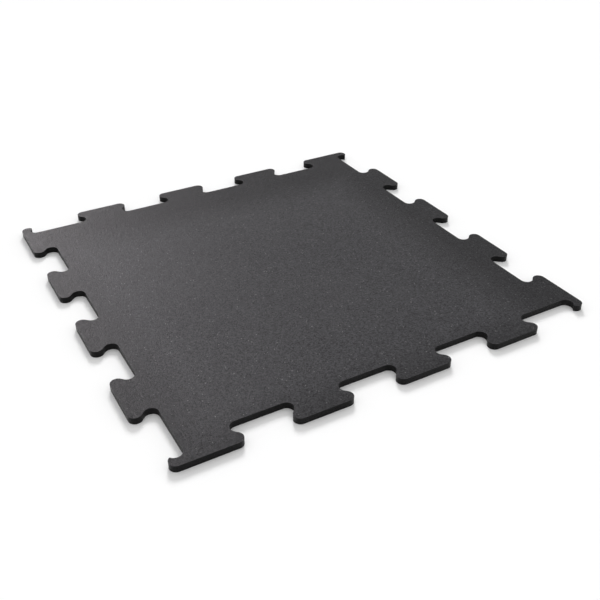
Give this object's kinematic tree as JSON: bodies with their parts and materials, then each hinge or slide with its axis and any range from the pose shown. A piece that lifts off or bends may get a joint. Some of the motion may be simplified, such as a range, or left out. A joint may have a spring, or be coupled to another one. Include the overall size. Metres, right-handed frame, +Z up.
{
  "type": "interlocking rubber tile",
  "caption": "Square flat rubber floor tile whose four sides are cut in hooked tabs that lock into the tiles laid beside it.",
  "frame": {"origin": "centre of the tile's underside, on the floor", "axes": "+Z up out of the top face; +X and +Y along the two directions in which tiles are laid, each a pitch of 0.945 m"},
  "size_m": [1, 1, 0.015],
  "materials": {
    "crumb_rubber": "matt, fine bonded crumb grain, cut edges darker than the faces"
  },
  "bodies": {
    "root": {"rubber_tile": "crumb_rubber"}
  },
  "joints": []
}
